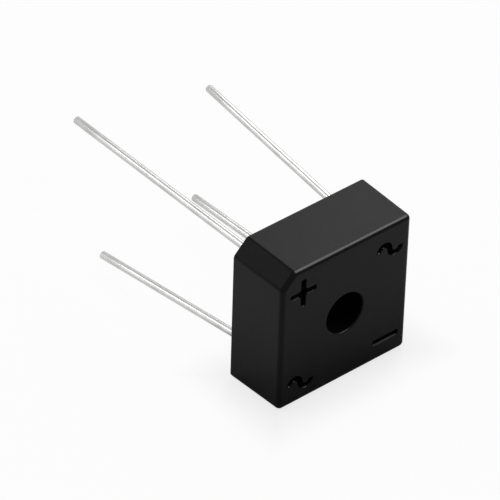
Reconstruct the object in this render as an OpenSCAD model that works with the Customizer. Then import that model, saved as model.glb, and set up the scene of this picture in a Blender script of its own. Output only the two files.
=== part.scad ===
// Square single-phase bridge rectifier with four wire leads.
// It stands on its lower side: +X is to the right of the marked front face, +Y runs from the
// front face back along the leads, and +Z is up. The origin is the centre of the screw hole's
// mouth on the front face. All sizes are in millimetres.

/* [Body] */
// Width and height of the square body at its back rim
body_w = 15.2; // [14:0.1:18]
// Depth of the body from the front face to the back rim
body_t = 6.5; // [5.5:0.1:8]
// Draft: how far the front face stands in from the back rim on each side
draft = 0.13; // [0:0.01:0.3]
// Leg of the corner cut that marks the positive lead, at the back rim
corner_cut = 1.5; // [0.8:0.1:1.8]
// Radius of the edges round the front face
edge_r = 0.4; // [0.2:0.05:0.7]
// Radius of the edges that run from front to back, at the back rim
side_edge_r = 0.3; // [0.1:0.05:0.6]
// Thickness of the case's front wall
front_wall = 1; // [0.8:0.1:1.4]
// Thickness of the case's side walls at the back rim
side_wall = 0.9; // [0.7:0.05:1.1]

/* [Screw hole] */
// Diameter of the hole through the middle of the case
hole_d = 4.2; // [3.2:0.1:4.6]
// Wall of the tube that lines the hole
boss_wall = 0.9; // [0.7:0.05:1.1]
// Chamfer round each mouth of the hole
hole_chamfer = 0.15; // [0.05:0.05:0.3]

/* [Polarity marks] */
// Length of the plus sign's arms and of the minus sign
mark_l = 3; // [2.4:0.1:3.4]
// Width of the sunk strokes
mark_stroke = 0.6; // [0.4:0.05:0.8]
// Depth of the sunk strokes
mark_depth = 0.3; // [0.15:0.05:0.5]
// Radius of the two half rings that make an alternating-current wave sign
wave_r = 0.65; // [0.5:0.05:0.8]
// From the front face's left and right edges to the middle of each mark
mark_side_inset = 2.45; // [2.3:0.05:2.8]
// From the front face's top edge to the middle of the upper marks
mark_top_inset = 2.7; // [2.3:0.05:3.2]
// From the front face's bottom edge to the middle of the lower marks
mark_bottom_inset = 2.15; // [1.8:0.05:3]

/* [Leads] */
// Diameter of the wire leads
lead_d = 0.76; // [0.6:0.02:1]
// From the body's sides at the back rim to the middle of each lead
lead_inset = 2.45; // [2.25:0.05:2.6]
// Length of the positive lead past the back rim
positive_l = 25.4; // [15:0.1:35]
// Length of the upper alternating-current lead past the back rim
ac_upper_l = 20.5; // [12:0.1:25]
// Length of the lower alternating-current lead past the back rim
ac_lower_l = 19.7; // [12:0.1:25]
// Length of the negative lead past the back rim
negative_l = 20.1; // [12:0.1:25]
// Diameter of the flat head on each lead's inner end
head_d = 1.5; // [1.3:0.05:1.6]
// Thickness of the flat head
head_t = 0.35; // [0.2:0.05:0.6]
// Straight length of each lead past the back rim before it leans
bend_start = 0.6; // [0.3:0.1:2]
// Radius of the bend where a lead starts to lean, to the middle of the wire
bend_r = 6; // [3:0.5:10]
// Lean of the positive lead, in degrees
positive_lean_angle = 0.6; // [0.6:0.1:3]
// Lean of the upper alternating-current lead, in degrees
ac_upper_lean_angle = 5.2; // [1:0.1:10]
// Lean of the lower alternating-current lead, in degrees
ac_lower_lean_angle = 5.5; // [1:0.1:6.5]
// Lean of the negative lead, in degrees
negative_lean_angle = 1.2; // [1:0.1:6]

/* [Potting] */
// Depth of the potting's surface below the back rim
pot_recess = 0.25; // [0.1:0.05:0.5]
// Width of the collar of resin that creeps up round each lead
collar_w = 0.45; // [0.2:0.05:0.7]
// Height of that collar
collar_h = 0.35; // [0.15:0.05:0.5]

/* [Connectors and dies] */
// Gap of resin between the side walls and the copper connector strips, which sets their width
strip_clearance = 0.35; // [0.25:0.05:0.45]
// Thickness of the copper connector strips
strip_t = 0.3; // [0.2:0.05:0.5]
// Gap of resin between the front wall and the first strips
strip_gap = 0.5; // [0.3:0.05:1]
// How far a strip reaches past the edge of the die that it carries
strip_overreach = 0.2; // [0.1:0.05:0.5]
// Side of the square silicon dies
die_w = 1.9; // [1.4:0.1:2.1]
// Thickness of the silicon dies
die_t = 0.3; // [0.2:0.05:0.5]
// Thickness of every solder layer
solder_t = 0.08; // [0.05:0.01:0.15]
// How far a die's solder layers stand in from the die's edges
solder_inset = 0.1; // [0.05:0.05:0.3]
// Width of the solder fillet at the foot of each lead's head
fillet_w = 0.2; // [0.1:0.05:0.25]
// Width of the same fillet at its upper edge
fillet_lip = 0.06; // [0.03:0.01:0.1]

/* [Hidden] */
$fn = 64;
hull_fn = 32;
// Depth that a cut runs past an open face, so that no skin is left
past = 1;
// Depth of the thin slice that sets the body's outline at the back rim
rim_slice = 0.01;
// How far a wire's straight stretches run into its bend, and how much thicker the bend is in
// radius, so that the three join as one
weld = 0.01;
bend_swell = 0.002;
hole_r = hole_d / 2;
boss_r = hole_r + boss_wall;
lead_r = lead_d / 2;
head_r = head_d / 2;
// Half the body's width at the back rim, at the front face and inside the walls
back_half = body_w / 2;
front_half = back_half - draft;
inner_half = back_half - side_wall;
// From the body's middle lines to the leads, which is also where the dies' middles lie
lead_half = back_half - lead_inset;
// Width of a strip, which is centred on its leads and stops short of the wall by its clearance
strip_w = 2 * (lead_inset - side_wall - strip_clearance);
// The two layers of strips with the dies between them, as depths from the front face
front_strip_y = front_wall + strip_gap;
front_solder_y = front_strip_y + strip_t;
die_y = front_solder_y + solder_t;
back_solder_y = die_y + die_t;
back_strip_y = back_solder_y + solder_t;
// Where the leads' solder starts on the front and on the back layer of strips
front_joint_y = front_solder_y;
back_joint_y = back_strip_y + strip_t;
pot_surface_y = body_t - pot_recess;
bend_y = body_t + bend_start;
// Each lead's corner as seen from the front, as signs for X and Z
positive_corner = [-1, 1];
negative_corner = [1, -1];
ac_upper_corner = [1, 1];
ac_lower_corner = [-1, -1];
// The way each lead leans as seen from the front, in degrees from +X towards +Z
positive_heading_angle = 320;
ac_upper_heading_angle = 37;
ac_lower_heading_angle = 222;
negative_heading_angle = 221;
case_colour = "#1d1d1e";
potting_colour = "#2a2a2b";
lead_colour = "#c9cacb";
copper_colour = "#b8734b";
silicon_colour = "#5b5f66";
solder_colour = "#a9abad";

// A flat outline, drawn in X and Z as seen from the front, with thickness from one depth to another
module slab(from, to) {
    translate([0, to, 0])
        rotate([90, 0, 0])
            linear_extrude(to - from) children();
}

// Something round, drawn along +Z, turned to run back along +Y from a point on the front face's plane
module along_depth(x, y, z) {
    translate([x, y, z])
        rotate([-90, 0, 0]) children();
}

// The body's five corners as seen from the front: a square with its upper left corner cut off
function plan_corners(half, cut) = [
    [half, -half], [half, half], [cut - half, half], [-half, half - cut], [-half, -half]];

// Leg of the corner cut on an outline that stands a distance inside the body's
function inset_cut(inset) = corner_cut - inset * (2 - sqrt(2));

// The rounded foot of one corner at the front face: a quarter circle spun round its middle
module front_corner() {
    rotate_extrude($fn = hull_fn)
        intersection() {
            translate([0, edge_r]) circle(edge_r, $fn = hull_fn);
            square(edge_r);
        }
}

// The case's outer form: drafted sides, rounded front edges and the cut corner
module case_block() {
    front_inset = draft + edge_r;
    hull() {
        for (c = plan_corners(front_half - edge_r, inset_cut(front_inset)))
            along_depth(c[0], 0, c[1]) front_corner();
        for (c = plan_corners(back_half - side_edge_r, inset_cut(side_edge_r)))
            along_depth(c[0], body_t - rim_slice, c[1])
                cylinder(r = side_edge_r, h = rim_slice, $fn = hull_fn);
    }
}

// The pocket behind the front wall, with the corner cut followed inside
module pocket_outline() {
    polygon(plan_corners(inner_half, inset_cut(side_wall)));
}

module plus_sign() {
    square([mark_l, mark_stroke], center = true);
    square([mark_stroke, mark_l], center = true);
}

module minus_sign() {
    square([mark_l, mark_stroke], center = true);
}

module half_ring() {
    reach = wave_r + mark_stroke;
    difference() {
        circle(wave_r + mark_stroke / 2);
        circle(wave_r - mark_stroke / 2);
        translate([-reach, -reach]) square([2 * reach, reach]);
    }
}

// The alternating-current sign: a crest on the left that runs down into a trough on the right
module wave_sign() {
    translate([-wave_r, 0]) half_ring();
    translate([wave_r, 0]) mirror([0, 1]) half_ring();
}

// The four signs where they are sunk in the front face
module marks_outline() {
    side = front_half - mark_side_inset;
    top = front_half - mark_top_inset;
    bottom = mark_bottom_inset - front_half;
    translate([-side, top]) plus_sign();
    translate([side, top]) wave_sign();
    translate([side, bottom]) minus_sign();
    translate([-side, bottom]) wave_sign();
}

module case() {
    color(case_colour)
    difference() {
        case_block();
        difference() {
            slab(front_wall, body_t + past) pocket_outline();
            along_depth(0, 0, 0) cylinder(r = boss_r, h = body_t + 2 * past);
        }
        along_depth(0, -past, 0) cylinder(r = hole_r, h = body_t + 2 * past);
        along_depth(0, 0, 0) cylinder(r1 = hole_r + hole_chamfer, r2 = hole_r, h = hole_chamfer);
        along_depth(0, body_t - hole_chamfer, 0)
            cylinder(r1 = hole_r, r2 = hole_r + hole_chamfer, h = hole_chamfer);
        slab(-past, mark_depth) marks_outline();
    }
}

// One copper strip as seen from the front: an arm along each of the two sides that meet at its
// lead's corner, each long enough to cover the die in the middle of that side
module strip_outline(corner) {
    arm = lead_half + die_w / 2 + strip_overreach;
    translate([corner[0] * lead_half, corner[1] * lead_half])
        mirror([corner[0] > 0 ? 0 : 1, 0])
            mirror([0, corner[1] > 0 ? 0 : 1]) {
                circle(strip_w / 2);
                translate([-arm, -strip_w / 2]) square([arm, strip_w]);
                translate([-strip_w / 2, -arm]) square([strip_w, arm]);
            }
}

module strip(corner, y) {
    color(copper_colour)
    slab(y, y + strip_t) strip_outline(corner);
}

// A square plate in the middle of one side of the ring, such as a die or its solder
module side_plate(side, width, from, to) {
    slab(from, to)
        translate([side[0] * lead_half, side[1] * lead_half])
            square(width, center = true);
}

module die(side) {
    color(silicon_colour)
    side_plate(side, die_w, die_y, back_solder_y);
}

module die_solder(side, y) {
    color(solder_colour)
    side_plate(side, die_w - 2 * solder_inset, y, y + solder_t);
}

// The solder between a lead's head and its strip, with the fillet that it draws up round the head
module lead_joint(corner, y) {
    rise = solder_t + head_t / 2;
    color(solder_colour)
    along_depth(corner[0] * lead_half, y, corner[1] * lead_half)
        difference() {
            cylinder(r1 = head_r + fillet_w, r2 = head_r + fillet_lip, h = rise);
            translate([0, 0, solder_t]) cylinder(r = head_r, h = head_t);
        }
}

// The wire past its straight stretch: a short bend, then straight on to its cut end
module leaning_wire(lean_angle, wire_l) {
    bend_l = bend_r * lean_angle * PI / 180;
    translate([bend_r, 0, 0])
        rotate([90, 0, 180])
            rotate_extrude(angle = lean_angle)
                translate([bend_r, 0]) circle(lead_r + bend_swell);
    translate([bend_r * (1 - cos(lean_angle)), 0, bend_r * sin(lean_angle)])
        rotate([0, lean_angle, 0])
            translate([0, 0, -weld]) cylinder(r = lead_r, h = wire_l - bend_l + weld);
}

// A tinned copper wire with a flat head, standing on its strip's solder and running back
module lead(corner, joint_y, length, lean_angle, heading_angle) {
    foot_y = joint_y + solder_t;
    color(lead_colour)
    along_depth(corner[0] * lead_half, foot_y, corner[1] * lead_half)
        rotate([0, 0, -heading_angle]) {
            cylinder(r = head_r, h = head_t);
            cylinder(r = lead_r, h = bend_y - foot_y + weld);
            translate([0, 0, bend_y - foot_y]) leaning_wire(lean_angle, length - bend_start);
        }
}

module lead_positive() {
    lead(positive_corner, front_joint_y, positive_l, positive_lean_angle, positive_heading_angle);
}

module lead_negative() {
    lead(negative_corner, front_joint_y, negative_l, negative_lean_angle, negative_heading_angle);
}

module lead_ac_upper() {
    lead(ac_upper_corner, back_joint_y, ac_upper_l, ac_upper_lean_angle, ac_upper_heading_angle);
}

module lead_ac_lower() {
    lead(ac_lower_corner, back_joint_y, ac_lower_l, ac_lower_lean_angle, ac_lower_heading_angle);
}

module joint_positive() {
    lead_joint(positive_corner, front_joint_y);
}

module joint_negative() {
    lead_joint(negative_corner, front_joint_y);
}

module joint_ac_upper() {
    lead_joint(ac_upper_corner, back_joint_y);
}

module joint_ac_lower() {
    lead_joint(ac_lower_corner, back_joint_y);
}

module strip_positive() {
    strip(positive_corner, front_strip_y);
}

module strip_negative() {
    strip(negative_corner, front_strip_y);
}

module strip_ac_upper() {
    strip(ac_upper_corner, back_strip_y);
}

module strip_ac_lower() {
    strip(ac_lower_corner, back_strip_y);
}

module all_strips() {
    strip_positive();
    strip_negative();
    strip_ac_upper();
    strip_ac_lower();
}

module all_dies_and_solder() {
    for (side = [[0, 1], [1, 0], [0, -1], [-1, 0]]) {
        die(side);
        die_solder(side, front_solder_y);
        die_solder(side, back_solder_y);
    }
}

module all_leads_and_joints() {
    lead_positive();
    lead_negative();
    lead_ac_upper();
    lead_ac_lower();
    joint_positive();
    joint_negative();
    joint_ac_upper();
    joint_ac_lower();
}

// The resin that fills the pocket round everything inside and holds it
module potting() {
    color(potting_colour)
    difference() {
        union() {
            slab(front_wall, pot_surface_y)
                difference() {
                    pocket_outline();
                    circle(boss_r);
                }
            for (x = [-lead_half, lead_half], z = [-lead_half, lead_half])
                along_depth(x, pot_surface_y, z)
                    cylinder(r1 = lead_r + collar_w, r2 = lead_r, h = collar_h);
        }
        all_strips();
        all_dies_and_solder();
        all_leads_and_joints();
    }
}

case();
potting();
lead_positive();
lead_negative();
lead_ac_upper();
lead_ac_lower();
strip_positive();
strip_negative();
strip_ac_upper();
strip_ac_lower();
die([0, 1]);  // die_top
die([1, 0]);  // die_right
die([0, -1]);  // die_bottom
die([-1, 0]);  // die_left
die_solder([0, 1], front_solder_y);  // solder_top_front
die_solder([0, 1], back_solder_y);  // solder_top_back
die_solder([1, 0], front_solder_y);  // solder_right_front
die_solder([1, 0], back_solder_y);  // solder_right_back
die_solder([0, -1], front_solder_y);  // solder_bottom_front
die_solder([0, -1], back_solder_y);  // solder_bottom_back
die_solder([-1, 0], front_solder_y);  // solder_left_front
die_solder([-1, 0], back_solder_y);  // solder_left_back
joint_positive();
joint_negative();
joint_ac_upper();
joint_ac_lower();
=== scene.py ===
from math import cos, hypot, pi, radians, sin, sqrt, tan

import bmesh
import bpy
from mathutils import Matrix, Vector


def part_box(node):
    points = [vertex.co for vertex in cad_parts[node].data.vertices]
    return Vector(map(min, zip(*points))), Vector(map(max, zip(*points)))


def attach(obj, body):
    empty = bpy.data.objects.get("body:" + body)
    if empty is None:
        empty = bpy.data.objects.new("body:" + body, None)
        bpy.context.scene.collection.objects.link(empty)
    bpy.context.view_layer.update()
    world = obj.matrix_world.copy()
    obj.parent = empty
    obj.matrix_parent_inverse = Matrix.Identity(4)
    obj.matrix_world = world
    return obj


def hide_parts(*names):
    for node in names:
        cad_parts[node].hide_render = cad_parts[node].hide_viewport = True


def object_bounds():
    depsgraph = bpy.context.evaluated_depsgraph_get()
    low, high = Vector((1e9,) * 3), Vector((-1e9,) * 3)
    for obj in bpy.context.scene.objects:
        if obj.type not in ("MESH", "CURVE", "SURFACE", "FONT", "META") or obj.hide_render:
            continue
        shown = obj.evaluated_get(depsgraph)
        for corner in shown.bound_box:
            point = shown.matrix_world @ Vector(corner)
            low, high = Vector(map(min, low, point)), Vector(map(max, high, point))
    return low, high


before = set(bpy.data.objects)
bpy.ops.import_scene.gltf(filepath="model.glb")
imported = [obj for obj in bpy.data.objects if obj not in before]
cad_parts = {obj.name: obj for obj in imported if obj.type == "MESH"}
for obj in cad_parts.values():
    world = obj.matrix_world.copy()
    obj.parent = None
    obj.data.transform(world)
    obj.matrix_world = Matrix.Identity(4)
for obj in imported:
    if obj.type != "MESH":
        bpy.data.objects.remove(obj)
cad_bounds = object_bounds()

# ---------------------------------------------------------------------------------------------
# Camera. It looks down on the marked front face, the side left of it and the top side, from far
# off through a long lens, so that the body's edges stay nearly parallel. The leads run away.
MM = 0.001
azimuth, elevation, roll = radians(-41.26), radians(38.14), radians(1.79)
distance = 399.0 * MM
lens_mm, sensor_mm = 325.2, 36
nearest_seen, farthest_seen = 0.01, 20
# The screw hole's mouth, the frame's origin, lies off the middle of the view by these two
off_right, off_up = -8.39 * MM, 5.59 * MM

back = Vector((sin(azimuth) * cos(elevation), -cos(azimuth) * cos(elevation), sin(elevation)))
level = Vector((cos(azimuth), sin(azimuth), 0))
upright = back.cross(level)
right = level * cos(roll) + upright * sin(roll)
up = upright * cos(roll) - level * sin(roll)
lens = bpy.data.cameras.new("camera")
lens.lens, lens.sensor_width = lens_mm, sensor_mm
lens.clip_start, lens.clip_end = nearest_seen, farthest_seen
camera = bpy.data.objects.new("camera", lens)
turn = Matrix((right, up, back)).transposed().to_4x4()
camera.matrix_world = Matrix.Translation(right * off_right + up * off_up + back * distance) @ turn
bpy.context.scene.collection.objects.link(camera)
bpy.context.scene.camera = camera


# ---------------------------------------------------------------------------------------------
# Case. One shot of black glass-filled resin: a shallow square tray with a tube through its middle
# for the screw, a corner cut off to mark the positive lead, and the four polarity signs sunk in
# its face. The mould was spark-eroded to a fine satin grain, and the part's edges are rounded.
_, case_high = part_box("case")
body_half, body_t = case_high.x, case_high.y
# The side walls lean in by this much from the back to the front, to leave the mould
draft = 0.13 * MM
corner_cut = 1.5 * MM
edge_r, edge_steps = 0.44 * MM, 7
side_edge_r, side_edge_steps = 0.48 * MM, 6
front_wall, side_wall = 1.0 * MM, 0.9 * MM
rim_soft, pocket_corner_r, soft_steps = 0.07 * MM, 0.15 * MM, 3
hole_r, boss_r = 2.1 * MM, 3.0 * MM
hole_chamfer = 0.15 * MM
hole_steps = 112
# The middle of a small rounding lies this share of its radius in from both of its sides
round_share = 0.3
# A narrow flat border round every opening keeps the shading of the flat faces even
flat_border = 0.03 * MM
front_half = body_half - draft
mark_l, mark_stroke, mark_depth = 3.0 * MM, 0.6 * MM, 0.3 * MM
mark_corner_r = 0.2 * MM
mark_lip_r, mark_lip_steps = 0.02 * MM, 2
mark_foot_r, mark_foot_steps = 0.06 * MM, 4
mark_wall_lean = 0.02 * MM
# The signs' sharp mouths are this much wider on each side than their sunk strokes
mark_mouth = flat_border + mark_lip_r
wave_r, wave_steps = 0.65 * MM, 14
# How far the signs' middles lie from the hole's axis, to the side, up and down
mark_side = front_half - 2.45 * MM
mark_top = front_half - 2.7 * MM
mark_bottom = 2.15 * MM - front_half
# Places that are no farther apart than this count as one, and angles than this as equal
near, near_angle = 0.001 * MM, radians(5)
# A face's normal has less of Y than the first if it faces a side, and more than the second if
# it faces back
side_facing, back_facing = 0.5, 0.9


def open_edges(mesh, depth):
    """The open edges of a mesh that lie at one depth from the front face."""
    return [e for e in mesh.edges if (e.is_boundary or e.is_wire)
            and all(abs(v.co.y - depth) < near for v in e.verts)]


def sink(mesh, faces, steps):
    """Sinks a flat region along a profile: each step goes in from its edge, then down."""
    for inward, down in steps:
        bmesh.ops.inset_region(mesh, faces=faces, thickness=inward, depth=-down,
                               use_boundary=True, use_even_offset=True)


def quarter(radius, count, convex):
    """Steps (inward, down) round a quarter circle: a lip that falls away, or a foot."""
    turns = [pi / 2 * i / count for i in range(count + 1)]
    path = [(radius * sin(t), radius * (1 - cos(t))) for t in turns]
    if not convex:
        path = [(radius - b, radius - a) for a, b in reversed(path)]
    return [(b[0] - a[0], b[1] - a[1]) for a, b in zip(path, path[1:])]


def sign_face(mesh, points, x, z):
    """One flat face of a sign, seen from the front, with its corners rounded."""
    before = set(mesh.faces)
    face = mesh.faces.new([mesh.verts.new((x + a, 0, z + b)) for a, b in points])
    bmesh.ops.bevel(mesh, geom=face.verts[:], offset=mark_corner_r, segments=soft_steps,
                    profile=0.5, affect="VERTICES", material=-1)
    return [f for f in mesh.faces if f not in before]


def wave_faces(mesh, x, z):
    """The wave sign's band: a stroke swept over a crest and then under into a trough."""
    half_stroke = mark_stroke / 2 + mark_mouth
    ends = [mesh.verts.new((x - 2 * wave_r + side * half_stroke, 0, z)) for side in (-1, 1)]
    stroke = [*ends, mesh.edges.new(ends)]
    before = set(mesh.faces)
    for centre, way in ((x - wave_r, 1), (x + wave_r, -1)):
        swept = bmesh.ops.spin(mesh, geom=stroke, cent=(centre, 0, z), axis=(0, 1, 0),
                               angle=way * pi, steps=wave_steps)
        stroke = swept["geom_last"]
    band = [f for f in mesh.faces if f not in before]
    # The sunken ends need a longer first step than the arcs have
    corners = [v for v in mesh.verts if len(v.link_edges) == 2
               and any(f in band for f in v.link_faces)]
    beside = [e.other_vert(v) for v in corners for e in v.link_edges]
    first_steps = [v for v in dict.fromkeys(beside) if v not in corners]
    bmesh.ops.dissolve_faces(mesh, faces=band)
    bmesh.ops.dissolve_verts(mesh, verts=first_steps)
    return [f for f in mesh.faces if f not in before]


def piece(name, mesh, finish, *nodes, slot):
    """Makes a finished piece of the part from a bmesh, to stand for CAD nodes."""
    # The mesh operators leave no fixed order, and each run has to give the same mesh, so the
    # corners and the faces are put in the order of their places
    order = sorted(mesh.verts, key=lambda v: tuple(v.co))
    mesh.verts.sort(key={v: i for i, v in enumerate(order)}.get)
    order = sorted(mesh.faces, key=lambda f: tuple(f.calc_center_median()))
    mesh.faces.sort(key={f: i for i, f in enumerate(order)}.get)
    data = bpy.data.meshes.new(name)
    for face in mesh.faces:
        face.smooth = True
    mesh.to_mesh(data)
    mesh.free()
    data.materials.append(finish)
    made = bpy.data.objects.new(name, data)
    bpy.context.scene.collection.objects.link(made)
    # Big flat faces keep their own shading, and the roundings beside them bend to it
    weighted = made.modifiers.new("even_shading", "WEIGHTED_NORMAL")
    weighted.weight = 100
    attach(made, "root")
    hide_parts(*nodes)


def plan(mesh, inset, depth):
    """A flat face of the body's plan, a distance inside its outline, at a depth."""
    # The cut slopes at 45 degrees, so its legs shorten by this share of the inset
    shortened = 2 - sqrt(2)
    half, cut = body_half - inset, corner_cut - inset * shortened
    corners = [(half, -half), (half, half), (cut - half, half), (-half, half - cut),
               (-half, -half)]
    face = mesh.faces.new([mesh.verts.new((x, depth, z)) for x, z in corners])
    face.normal_update()
    return face


tray = bmesh.new()
bmesh.ops.inset_region(tray, faces=[plan(tray, 0, body_t)], thickness=draft, depth=body_t,
                       use_boundary=True, use_even_offset=True)

# The edges that run from front to back, those beside the cut corner being half as sharp a turn
for lean, offset in ((90, side_edge_r), (45, side_edge_r * tan(radians(45 / 2)))):
    turned = [e for e in tray.edges if len(e.link_faces) == 2
              and all(abs(f.normal.y) < side_facing for f in e.link_faces)
              and abs(e.calc_face_angle() - radians(lean)) < near_angle]
    bmesh.ops.bevel(tray, geom=turned, offset=offset, segments=side_edge_steps, profile=0.5,
                    affect="EDGES", material=-1)
tray.normal_update()
front = max(tray.faces, key=lambda f: -f.normal.y * f.calc_area())
bmesh.ops.bevel(tray, geom=front.edges[:], offset=edge_r, segments=edge_steps, profile=0.5,
                affect="EDGES", material=-1)
tray.normal_update()
front = max(tray.faces, key=lambda f: -f.normal.y * f.calc_area())
sink(tray, [front], [(flat_border, 0)])
bmesh.ops.delete(tray, geom=[front], context="FACES_ONLY")

# The pocket, whose mouth and the body's outline bound the back rim
outer = open_edges(tray, body_t)
mouth = plan(tray, side_wall - rim_soft - flat_border, body_t)
mouth.normal_flip()
bmesh.ops.bevel(tray, geom=mouth.verts[:], offset=pocket_corner_r, segments=soft_steps,
                profile=0.5, affect="VERTICES", material=-1)
bmesh.ops.triangle_fill(tray, edges=open_edges(tray, body_t), use_beauty=True)
tray.normal_update()
many_sided = [f for f in tray.faces if len(f.verts) > 4 and f.normal.y > back_facing]
mouth = max(many_sided, key=lambda f: f.calc_area())
sink(tray, [mouth], [(flat_border, 0)] + quarter(rim_soft, soft_steps, True))
well = bmesh.ops.extrude_face_region(tray, geom=[mouth])["geom"]
bmesh.ops.delete(tray, geom=[mouth], context="FACES_ONLY")
well_verts = [v for v in well if isinstance(v, bmesh.types.BMVert)]
bmesh.ops.translate(tray, verts=well_verts, vec=(0, front_wall - well_verts[0].co.y, 0))
bmesh.ops.delete(tray, geom=[f for f in well if isinstance(f, bmesh.types.BMFace)],
                 context="FACES_ONLY")
bmesh.ops.bevel(tray, geom=outer, offset=rim_soft, segments=soft_steps, profile=0.5,
                affect="EDGES", material=-1)

# The tube for the screw, turned round the hole's axis from the front mouth to the pocket's floor
mouth_r = hole_r + hole_chamfer
mouth_round, boss_round = round_share * hole_chamfer, round_share * rim_soft
tube = [(mouth_r + flat_border, 0),
        (mouth_r, 0),
        (hole_r + mouth_round, mouth_round),
        (hole_r, hole_chamfer),
        (hole_r, body_t - hole_chamfer),
        (hole_r + mouth_round, body_t - mouth_round),
        (mouth_r, body_t),
        (boss_r - rim_soft, body_t),
        (boss_r - boss_round, body_t - boss_round),
        (boss_r, body_t - rim_soft),
        (boss_r, front_wall)]
profile = [tray.verts.new((radius, depth, 0)) for radius, depth in tube]
links = [tray.edges.new(pair) for pair in zip(profile, profile[1:])]
bmesh.ops.spin(tray, geom=profile + links, cent=(0, 0, 0), axis=(0, 1, 0), angle=2 * pi,
               steps=hole_steps, use_merge=True)
bmesh.ops.triangle_fill(tray, edges=open_edges(tray, front_wall), use_beauty=True)

# The four signs, then the front face that joins them to the hole and the outer edge
arm, stroke = mark_l / 2 + mark_mouth, mark_stroke / 2 + mark_mouth
bar = [(arm, -stroke), (arm, stroke), (-arm, stroke), (-arm, -stroke)]
cross = [(arm, -stroke), (arm, stroke), (stroke, stroke), (stroke, arm),
         (-stroke, arm), (-stroke, stroke), (-arm, stroke), (-arm, -stroke),
         (-stroke, -stroke), (-stroke, -arm), (stroke, -arm), (stroke, -stroke)]
wall_drop = mark_depth - mark_lip_r - mark_foot_r
sunk = [(flat_border, 0), *quarter(mark_lip_r, mark_lip_steps, True),
        (mark_wall_lean, wall_drop), *quarter(mark_foot_r, mark_foot_steps, False)]
signs = [sign_face(tray, cross, -mark_side, mark_top),
         sign_face(tray, bar, mark_side, mark_bottom),
         wave_faces(tray, mark_side, mark_top),
         wave_faces(tray, -mark_side, mark_bottom)]
for sign in signs:
    for face in sign:
        face.normal_update()
        if face.normal.y > 0:
            face.normal_flip()
    sink(tray, sign, sunk)
bmesh.ops.triangle_fill(tray, edges=open_edges(tray, 0), use_beauty=True)
bmesh.ops.recalc_face_normals(tray, faces=tray.faces[:])


class Signal:
    """What a shader socket gives. Sums written with it add the Math nodes that work them out."""

    def __init__(self, socket):
        self.socket = socket

    def node(self, kind, settings=(), sockets=(), out=0):
        """Adds a node to the same material: its settings first, then values or links."""
        tree = self.socket.id_data
        made = tree.nodes.new(kind)
        for name, value in dict(settings).items():
            setattr(made, name, value)
        for name, value in dict(sockets).items():
            if isinstance(value, Signal):
                tree.links.new(value.socket, made.inputs[name])
            else:
                made.inputs[name].default_value = value
        return Signal(made.outputs[out])

    def outputs(self, *names):
        """Several outputs of the node that gives this one."""
        return [Signal(self.socket.node.outputs[name]) for name in names]

    def maths(self, operation, a, b=0.0):
        """Adds a Math node."""
        return self.node("ShaderNodeMath", {"operation": operation}, {0: a, 1: b})

    def __add__(self, other):
        return self.maths("ADD", self, other)

    def __sub__(self, other):
        return self.maths("SUBTRACT", self, other)

    def __rsub__(self, other):
        return self.maths("SUBTRACT", other, self)

    def __mul__(self, other):
        return self.maths("MULTIPLY", self, other)

    __radd__, __rmul__ = __add__, __mul__

    def __abs__(self):
        return self.maths("ABSOLUTE", self)

    def larger(self, other):
        """The larger of two values."""
        return self.maths("MAXIMUM", self, other)

    def ease(self, start, end):
        """0 before start, 1 past end, and a smooth rise between them."""
        return self.node("ShaderNodeMapRange", {"interpolation_type": "SMOOTHSTEP"},
                         {"Value": self, "From Min": start, "From Max": end})

    def axes(self):
        """The three coordinates of a place."""
        return self.node("ShaderNodeSeparateXYZ", {}, {"Vector": self}).outputs("X", "Y", "Z")

    def noise(self, size, detail=2, rough=0.5):
        """Cloudy noise, whose blobs measure about size, at these coordinates."""
        return self.node("ShaderNodeTexNoise", {}, {"Vector": self, "Scale": 1 / size,
                                                    "Detail": detail, "Roughness": rough})

    def blend(self, first, second):
        """A colour between two others, at this share of the second."""
        # The node's factor and its two colours are its sockets 0, 6 and 7, its colour output 2
        return self.node("ShaderNodeMix", {"data_type": "RGBA"},
                         {0: self, 6: (*first, 1), 7: (*second, 1)}, out=2)

    def relief(self, depth, strength=1.0, over=None):
        """A bumped normal, from this height in shares of depth, over another relief."""
        sockets = {"Height": self, "Distance": depth, "Strength": strength}
        if over is not None:
            sockets["Normal"] = over
        return self.node("ShaderNodeBump", {}, sockets)


def new_finish(name):
    """A new material, with its shader and the coordinates that its patterns read."""
    made = bpy.data.materials.new(name)
    made.use_nodes = True
    shader = made.node_tree.nodes["Principled BSDF"]
    place = Signal(made.node_tree.nodes.new("ShaderNodeTexCoord").outputs["Object"])
    return made, shader, place


def dress(shader, fixed=(), **varying):
    """Sets a shader's fixed values and links what varies over the surface."""
    for name, value in dict(fixed).items():
        shader.inputs[name].default_value = value
    for name, signal in varying.items():
        socket = shader.inputs[name.replace("_", " ").title()]
        shader.id_data.links.new(signal.socket, socket)


def two_shaders(made, share, first, second):
    """Covers a material's surface with two shaders, by the share of the second."""
    both = share.node("ShaderNodeMixShader", {}, {0: share, 1: first, 2: second})
    tree = made.node_tree
    tree.links.new(both.socket, tree.nodes["Material Output"].inputs["Surface"])


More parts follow.
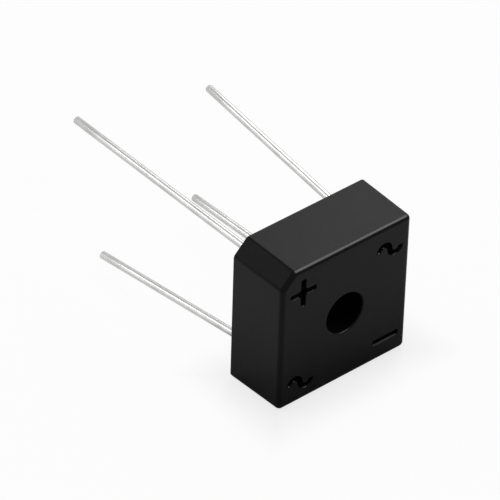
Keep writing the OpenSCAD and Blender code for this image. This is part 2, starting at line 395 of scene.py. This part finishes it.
def moulded_plastic():
    """Black moulding resin: satin spark-eroded grain, faint flow marks, dull handling haze, and
    painted shade in the sunk signs and the screw hole.
    """
    made, shader, place = new_finish("moulded_plastic")
    black, charcoal = (0.0017, 0.0017, 0.0018), (0.0036, 0.0035, 0.0036)
    # Painted shade: the near-black of the sunk signs and the screw hole
    recess_shade_black = (0.001, 0.001, 0.001)
    clouds = place.noise(3.2 * MM, detail=3, rough=0.55)
    flow = place.noise(0.9 * MM)
    specks = place.noise(0.16 * MM, rough=0.6)
    grain = place.noise(0.055 * MM, detail=3, rough=0.6)
    height = grain * 0.7 + specks * 0.3
    least_rough, cloud_rough, grain_rough = 0.27, 0.08, 0.06
    dress(shader, {"Specular IOR Level": 0.08, "IOR": 1.5},
          base_color=(clouds * 0.7 + specks * 0.3).ease(0.3, 0.7).blend(black, charcoal),
          roughness=least_rough + clouds * cloud_rough + grain * grain_rough,
          normal=height.relief(0.004 * MM, strength=0.55,
                               over=flow.relief(0.006 * MM, strength=0.3)))

    # The mould's deep places, the signs and the screw hole, keep a coarse matt surface and are
    # also
    # painted shade: near-black and nearly without gloss. They lie inside the face's flat part,
    # seen from the front, and between the face and the rim.
    x, y, z = place.axes()
    flat_half, fade = front_half - edge_r, 0.1 * MM
    sunk_start, sunk_end = 0.02 * MM, 0.2 * MM
    rim_start, rim_end = body_t - 0.3 * MM, body_t - 0.1 * MM
    past_cut = 2 * flat_half - corner_cut
    inside = 1 - abs(x).larger(abs(z)).ease(flat_half - fade, flat_half)
    inside = inside - inside * (z - x).ease(past_cut, past_cut + fade)
    shaded_recesses = (y.ease(sunk_start, sunk_end) - y.ease(rim_start, rim_end)) * inside
    # Near-black and nearly without gloss: painted shade in those recesses, over their coarse matt
    # grain
    matt_and_shade = place.node("ShaderNodeBsdfPrincipled", {},
                      {"Base Color": (*recess_shade_black, 1), "Roughness": 0.85, "Specular IOR Level": 0.012,
                       "Normal": grain.relief(0.01 * MM, strength=0.6)})
    satin = Signal(shader.outputs["BSDF"])
    two_shaders(made, shaded_recesses, satin, matt_and_shade)
    return made


piece("case_shell", tray, moulded_plastic(), "case", slot="case_plastic")

# ---------------------------------------------------------------------------------------------
# Potting. Black epoxy is poured into the tray over the finished circuit and cured. It sets level,
# a little below the rim, and creeps up the walls, the screw tube and the four leads.
pot_recess = 0.25 * MM
creep_w, creep_h, creep_steps = 0.55 * MM, 0.11 * MM, 6
collar_w, collar_h, collar_steps = 0.45 * MM, 0.35 * MM, 6
surface_y = body_t - pot_recess
lead_half = body_half - 2.45 * MM
lead_r = 0.38 * MM

resin = bmesh.new()
resin.from_mesh(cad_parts["potting"].data)
bmesh.ops.remove_doubles(resin, verts=resin.verts[:], dist=near)
skin = [f for f in resin.faces if all(v.co.y > surface_y - near for v in f.verts)]
bmesh.ops.delete(resin, geom=skin, context="FACES")
shore = dict.fromkeys(v for e in open_edges(resin, surface_y) for v in e.verts)
bmesh.ops.translate(resin, verts=list(shore), vec=(0, creep_h, 0))
raised = open_edges(resin, surface_y + creep_h)
pool = bmesh.ops.triangle_fill(resin, edges=raised, use_beauty=True)["geom"]
pool = [f for f in pool if isinstance(f, bmesh.types.BMFace)]
for face in pool:
    face.normal_update()
    if face.normal.y < 0:
        face.normal_flip()
falls = [creep_h * (1 - i / creep_steps) ** 2 for i in range(creep_steps + 1)]
sink(resin, pool, [(creep_w / creep_steps, a - b) for a, b in zip(falls, falls[1:])])
bmesh.ops.delete(resin, geom=pool, context="FACES")

# Each lead's collar falls from a thin edge on the wire to the pool's level in a hollow curve
collar_top = surface_y + collar_h
for x in (-lead_half, lead_half):
    for z in (-lead_half, lead_half):
        ring = [e for e in open_edges(resin, collar_top)
                if all(hypot(v.co.x - x, v.co.z - z) < 2 * lead_r for v in e.verts)]
        wide, high = 0, collar_h
        for i in range(1, collar_steps + 1):
            share = i / collar_steps
            spread = (lead_r + collar_w * share) / (lead_r + wide)
            next_high = collar_h * (1 - share) ** 2
            grown = bmesh.ops.extrude_edge_only(resin, edges=ring)["geom"]
            verts = [v for v in grown if isinstance(v, bmesh.types.BMVert)]
            ring = [e for e in grown if isinstance(e, bmesh.types.BMEdge) and e.is_boundary]
            bmesh.ops.scale(resin, vec=(spread, 1, spread), verts=verts,
                            space=Matrix.Translation((-x, 0, -z)))
            bmesh.ops.translate(resin, verts=verts, vec=(0, next_high - high, 0))
            wide, high = collar_w * share, next_high
bmesh.ops.triangle_fill(resin, edges=open_edges(resin, surface_y), use_beauty=True)
bmesh.ops.recalc_face_normals(resin, faces=resin.faces[:])


def cured_epoxy():
    """Black epoxy that set in the open: glossy, with slow ripples, pinholes and settled dust."""
    made, shader, place = new_finish("cured_epoxy")
    black, dusty = (0.006, 0.006, 0.007), (0.014, 0.014, 0.014)
    ripples = place.noise(2.6 * MM, rough=0.45)
    haze = place.noise(1.3 * MM, detail=3, rough=0.6)
    filler = place.noise(0.09 * MM, rough=0.6)
    pitch, pinhole, halo = 1.1 * MM, 0.06, 0.12
    cells = place.node("ShaderNodeTexVoronoi", {"feature": "F1"},
                       {"Vector": place, "Scale": 1 / pitch})
    pinholes = 1 - cells.ease(pinhole, halo)
    height = ripples * 0.75 + filler * 0.02 - pinholes * 0.2
    least_rough, haze_rough, hole_rough = 0.2, 0.14, 0.2
    dress(shader, {"Specular IOR Level": 0.4, "IOR": 1.55},
          base_color=(haze * 0.6 + filler * 0.4).ease(0.35, 0.7).blend(black, dusty),
          roughness=least_rough + haze * haze_rough + pinholes * hole_rough,
          normal=height.relief(0.05 * MM, strength=0.6))
    return made


piece("potting_fill", resin, cured_epoxy(), "potting", slot="potting_resin")

# ---------------------------------------------------------------------------------------------
# Leads. Copper wire with a flat head upset on its inner end, hot-dipped in tin and cropped to
# length. The tin sets bright, with fine lines along the wire from drawing and thin dull patches.
head_r, head_t = 0.75 * MM, 0.35 * MM
# The heads sit on the strips, whose two layers lie this far behind the front face
strip_layers = {"front": 1.88 * MM, "back": 2.64 * MM}
# Each wire runs straight this far past the body's back, and then bends
bend_after, bend_r, bend_steps = 0.6 * MM, 6 * MM, 6
bend_y = body_t + bend_after
crop_r, crop_steps = 0.07 * MM, 4
wire_sides, wire_rings = 40, 4
# An inset as small as this pushes a face straight on
hair = 0.0001 * MM


def tinned_wire(name, lean, heading):
    """Bright tin on wire, with its lines turned to run along this lead."""
    made, shader, place = new_finish(name)
    bright, dull = (0.58, 0.58, 0.57), (0.47, 0.47, 0.46)
    stretched, rotation = 0.03, (-lean * sin(heading), 0, -lean * cos(heading))
    along = place.node("ShaderNodeMapping", {"vector_type": "POINT"},
                       {"Vector": place, "Rotation": rotation, "Scale": (1, stretched, 1)})
    lines = along.noise(0.05 * MM, detail=3, rough=0.6)
    bands = along.noise(0.16 * MM)
    patches = place.noise(1.7 * MM, detail=3, rough=0.6)
    height = lines * 0.6 + bands * 0.4
    least_rough, patch_rough, line_rough = 0.16, 0.12, 0.04
    dress(shader, {"Metallic": 1.0},
          base_color=(patches * 0.6 + bands * 0.4).ease(0.38, 0.68).blend(bright, dull),
          roughness=least_rough + patches * patch_rough + lines * line_rough,
          normal=height.relief(0.004 * MM, strength=0.4,
                               over=patches.relief(0.02 * MM, strength=0.35)))
    return made


def wire_lead(name, corner, layer, length, lean_degrees, heading_degrees):
    """One lead, drawn along its own +Z from its head, leaning towards its own +X."""
    lean, heading = radians(lean_degrees), radians(heading_degrees)
    foot_y = strip_layers[layer]
    wire = bmesh.new()
    ring = bmesh.ops.create_circle(wire, cap_ends=True, radius=head_r,
                                   segments=wire_sides)["verts"]
    face = ring[0].link_faces[0]
    if face.normal.z < 0:
        face.normal_flip()
    # A copy of the circle stays behind and closes the head
    bmesh.ops.duplicate(wire, geom=[face])

    def push(faces, inward, onward):
        bmesh.ops.inset_region(wire, faces=faces, thickness=inward, depth=onward,
                               use_boundary=True, use_even_offset=True)

    push([face], hair, head_t)
    push([face], head_r - lead_r, 0)
    push([face], hair, bend_y - foot_y - head_t)
    rim_verts = face.verts[:]
    wire.faces.remove(face)
    rim_edges = [e for e in wire.edges if e.is_boundary and all(v in rim_verts for v in e.verts)]
    bend = bmesh.ops.spin(wire, geom=rim_verts + rim_edges, axis=(0, 1, 0), angle=lean,
                          steps=bend_steps, cent=(bend_r, 0, bend_y - foot_y))["geom_last"]
    edges = [e for e in bend if isinstance(e, bmesh.types.BMEdge)]
    way = Vector((sin(lean), 0, cos(lean)))
    straight = length - bend_after - bend_r * lean - crop_r
    for _ in range(wire_rings):
        grown = bmesh.ops.extrude_edge_only(wire, edges=edges)["geom"]
        verts = [v for v in grown if isinstance(v, bmesh.types.BMVert)]
        edges = [e for e in grown if isinstance(e, bmesh.types.BMEdge) and e.is_boundary]
        bmesh.ops.translate(wire, verts=verts, vec=way * (straight / wire_rings))
    end = bmesh.ops.edgeloop_fill(wire, edges=edges)["faces"]
    end[0].normal_update()
    if end[0].normal.dot(way) < 0:
        end[0].normal_flip()
    for inward, onward in reversed(quarter(crop_r, crop_steps, True)):
        push(end, inward, onward)
    place = (Matrix.Translation((corner[0] * lead_half, foot_y, corner[1] * lead_half))
             @ Matrix.Rotation(-pi / 2, 4, "X") @ Matrix.Rotation(-heading, 4, "Z"))
    bmesh.ops.transform(wire, matrix=place, verts=wire.verts[:])
    bmesh.ops.remove_doubles(wire, verts=wire.verts[:], dist=near / 2)
    bmesh.ops.recalc_face_normals(wire, faces=wire.faces[:])
    piece(name + "_wire", wire, tinned_wire("tin_" + name, lean, heading), name,
          slot="tinned_wire")


wire_lead("lead_positive", corner=(-1, 1), layer="front", length=25.4 * MM,
          lean_degrees=0.6, heading_degrees=320)
wire_lead("lead_negative", corner=(1, -1), layer="front", length=20.1 * MM,
          lean_degrees=1.2, heading_degrees=221)
wire_lead("lead_ac_upper", corner=(1, 1), layer="back", length=20.5 * MM,
          lean_degrees=5.2, heading_degrees=37)
wire_lead("lead_ac_lower", corner=(-1, -1), layer="back", length=19.7 * MM,
          lean_degrees=5.5, heading_degrees=222)

# ---------------------------------------------------------------------------------------------
# Circuit inside. Four punched copper strips in two layers hold four silicon dies between them,
# with solder on both faces of each die and a fillet of solder round each lead's head. The resin
# hides all of it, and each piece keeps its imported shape.


def punched_copper():
    """Rolled copper strip: fine rolling lines, heat tint from the solder oven."""
    made, shader, place = new_finish("punched_copper")
    fresh, tinted = (0.68, 0.31, 0.17), (0.42, 0.17, 0.10)
    stretched = 0.04
    rolled = place.node("ShaderNodeMapping", {}, {"Vector": place, "Scale": (stretched, 1, 1)})
    lines = rolled.noise(0.03 * MM, detail=3, rough=0.6)
    tint = place.noise(1.4 * MM, detail=3, rough=0.55)
    least_rough, tint_rough = 0.28, 0.2
    dress(shader, {"Metallic": 1.0},
          base_color=tint.ease(0.35, 0.7).blend(fresh, tinted),
          roughness=least_rough + tint * tint_rough,
          normal=lines.relief(0.003 * MM, strength=0.4))
    return made


def sawn_silicon():
    """A diced silicon rectifier die: grey, smooth, with a few saw lines."""
    made, shader, place = new_finish("sawn_silicon")
    dark, light = (0.085, 0.09, 0.105), (0.15, 0.155, 0.17)
    line_pitch = 0.5 * MM
    lines = place.node("ShaderNodeTexWave", {"bands_direction": "DIAGONAL"},
                       {"Vector": place, "Scale": 1 / line_pitch, "Distortion": 1.5})
    haze = place.noise(0.5 * MM, detail=3, rough=0.6)
    least_rough, haze_rough = 0.22, 0.15
    dress(shader, {"Metallic": 0.4, "IOR": 1.6},
          base_color=haze.blend(dark, light),
          roughness=least_rough + haze * haze_rough,
          normal=lines.relief(0.001 * MM, strength=0.3))
    return made


def reflowed_solder():
    """Solder set in the oven: dull silver, finely crystalline."""
    made, shader, place = new_finish("reflowed_solder")
    silver, grey = (0.50, 0.50, 0.49), (0.36, 0.36, 0.36)
    crystal = 0.12 * MM
    crystals = place.node("ShaderNodeTexVoronoi", {}, {"Vector": place, "Scale": 1 / crystal})
    haze = place.noise(0.4 * MM, detail=3, rough=0.6)
    least_rough, haze_rough = 0.34, 0.2
    dress(shader, {"Metallic": 1.0},
          base_color=haze.blend(silver, grey),
          roughness=least_rough + haze * haze_rough,
          normal=crystals.relief(0.006 * MM, strength=0.4))
    return made


inner = {"strip_": punched_copper(), "die_": sawn_silicon(), "solder_": reflowed_solder()}
inner["joint_"] = inner["solder_"]
for name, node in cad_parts.items():
    for start, finish in inner.items():
        if name.startswith(start):
            node.data.materials.clear()
            node.data.materials.append(finish)

# ---------------------------------------------------------------------------------------------
# Studio. The part stands on its lower side on white paper in a white room, with a soft light high
# on each side behind it and a third low on the left that runs along the leads. A lamp and a black
# card in front of it show only in gloss: they light and darken the upper front edge.
floor_z = cad_bounds[0][2]
table_half = 1.5
lamp_reach = 0.40
card_way, card_reach = Vector((0.52, -0.84, 0.12)), 0.35
card_half_wide, card_half_high = 0.25, 0.08
# How bright the room is as a light on the object, and mirrored in it, in shares of white
room_light, mirrored_light = 0.4, 0.85


def ray_kinds(signal):
    """1 for one kind of ray and 0 for the others: from the camera, mirrored, passed through."""
    path = signal.node("ShaderNodeLightPath")
    return path.outputs("Is Camera Ray", "Is Glossy Ray", "Is Transmission Ray")


def pale_paper():
    """White table paper. Seen directly or mirrored, it is lifted to the white of the backdrop."""
    made, shader, place = new_finish("pale_paper")
    paper, fibre = (0.93, 0.93, 0.93), (0.95, 0.95, 0.95)
    fibres = place.noise(0.8 * MM, detail=3, rough=0.6).blend(paper, fibre)
    plain = place.node("ShaderNodeBsdfDiffuse", {}, {"Color": fibres})
    glow = place.node("ShaderNodeEmission", {}, {"Color": (1, 1, 1, 1), "Strength": 1.0})
    # Near the body the paper is lifted less, so that the object's shadow stays on it. This fade
    # by distance from the body also paints shade round its foot, faint when seen directly and
    # strong when mirrored.
    x, y, _ = place.axes()
    away = (abs(x) - body_half).larger(abs(y - body_t / 2) - body_t / 2)
    near_lift, more_far_off, mirrored_lift = 0.76, 0.19, 0.9
    shadow_start, shadow_end, mirrored_end = -1 * MM, 5 * MM, 10 * MM
    seen = away.ease(shadow_start, shadow_end) * more_far_off + near_lift
    mirrored = away.ease(0, mirrored_end) * mirrored_lift
    rays, glossy, through = ray_kinds(place)
    two_shaders(made, rays * seen + (glossy + through) * mirrored, plain, glow)
    made.node_tree.nodes.remove(shader)
    return made


def black_paper():
    """Matt black card."""
    made, shader, place = new_finish("black_paper")
    black, fibre = (0.02, 0.02, 0.02), (0.03, 0.03, 0.03)
    dress(shader, {"Roughness": 1.0, "Specular IOR Level": 0.0},
          base_color=place.noise(2 * MM).blend(black, fibre))
    return made


def flat_sheet(name, matrix, paper):
    """A flat square, 2 across before the matrix sizes and places it."""
    sheet = bmesh.new()
    bmesh.ops.create_grid(sheet, x_segments=1, y_segments=1, size=1, matrix=matrix)
    data = bpy.data.meshes.new(name)
    sheet.to_mesh(data)
    sheet.free()
    data.materials.append(paper)
    made = bpy.data.objects.new(name, data)
    bpy.context.scene.collection.objects.link(made)
    return made


def softbox(name, way, wide, high, brightness):
    """A light that faces the part, given by its size and the brightness of its surface."""
    data = bpy.data.lights.new(name, "AREA")
    data.shape, data.size, data.size_y = "RECTANGLE", wide, high
    data.energy = brightness * pi * wide * high
    lamp = bpy.data.objects.new(name, data)
    towards = Vector(way).normalized()
    lamp.location = towards * lamp_reach
    lamp.rotation_euler = towards.to_track_quat("Z", "Y").to_euler()
    bpy.context.scene.collection.objects.link(lamp)
    return lamp


table_place = Matrix.Translation((0, 0, floor_z)) @ Matrix.Scale(table_half, 4)
table = flat_sheet("table", table_place, pale_paper())

softbox("right_softbox", way=(0.62, 0.42, 0.66), wide=0.18, high=0.18, brightness=4.4)
softbox("left_softbox", way=(-0.52, 0.59, 0.62), wide=0.12, high=0.12, brightness=3.4)
softbox("low_softbox", way=(-0.78, 0.60, 0.14), wide=0.14, high=0.06, brightness=1.5)
front_lamp = softbox("front_lamp", way=(0.52, -0.28, 0.81), wide=0.25, high=0.25,
                     brightness=25.0)
front_lamp.visible_diffuse = False

card_turn = card_way.to_track_quat("Z", "Y").to_matrix().to_4x4()
card_place = (Matrix.Translation(card_way.normalized() * card_reach) @ card_turn
              @ Matrix.Diagonal((card_half_wide, card_half_high, 1, 1)))
card = flat_sheet("black_card", card_place, black_paper())
card.visible_camera = False
card.visible_diffuse = False
card.visible_shadow = False

world = bpy.data.worlds.new("studio")
bpy.context.scene.world = world
world.use_nodes = True
sky = world.node_tree.nodes["Background"]
rays, glossy, through = ray_kinds(Signal(sky.outputs["Background"]))
strength = ((rays + through) * (1 - room_light) + glossy * (mirrored_light - room_light)
            + room_light)
world.node_tree.links.new(strength.socket, sky.inputs["Strength"])
sky.inputs["Color"].default_value = (1, 1, 1, 1)

bpy.context.scene.view_settings.view_transform = "Standard"
